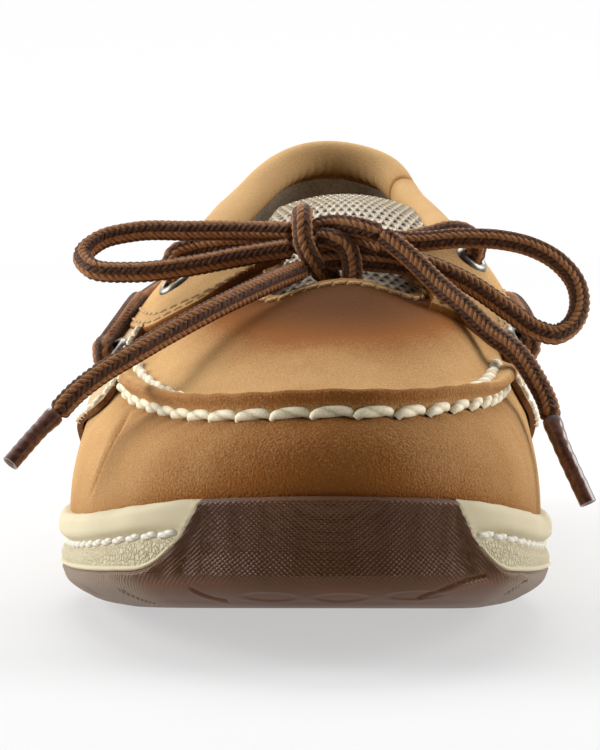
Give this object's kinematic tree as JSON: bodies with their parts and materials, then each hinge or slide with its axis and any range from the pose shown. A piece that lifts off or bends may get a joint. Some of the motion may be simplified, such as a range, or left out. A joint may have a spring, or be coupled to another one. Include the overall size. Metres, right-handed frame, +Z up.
{
  "type": "boat shoe",
  "caption": "Low leather boat shoe for the right foot: hollow moccasin upper on a two-tone rubber sole with a toe bumper, mesh tongue, padded collar, laced with a bow.",
  "frame": {"origin": "middle of the shoe's footprint, on the floor it stands on", "axes": "+Z up; the toe points along -Y; +X is the medial side of a right shoe"},
  "size_m": [0.1088, 0.2577, 0.0859],
  "materials": {
    "gum_rubber": "dimpled brown gum rubber",
    "cream_sidewall": "matt moulded cream rubber",
    "lining_suede": "suede lining",
    "tan_nubuck": "oiled nubuck",
    "mesh_knit": "open knitted mesh",
    "antique_silver": "antiqued metal ring",
    "braided_lace": "round two-tone braid",
    "lace_tip": "clear film over braid"
  },
  "bodies": {
    "root": {"outsole": "gum_rubber", "midsole": "cream_sidewall", "insole": "lining_suede", "upper": "tan_nubuck", "collar": "tan_nubuck", "tongue": "mesh_knit", "eyelet_front_lateral": "antique_silver", "eyelet_front_medial": "antique_silver", "eyelet_side_lateral": "antique_silver", "eyelet_side_medial": "antique_silver", "side_lace": "braided_lace", "lace_bar": "braided_lace", "knot": "braided_lace", "loop_lateral": "braided_lace", "loop_medial": "braided_lace", "end_lateral": "braided_lace", "end_medial": "braided_lace", "aglet_lateral": "lace_tip", "aglet_medial": "lace_tip"}
  },
  "joints": []
}
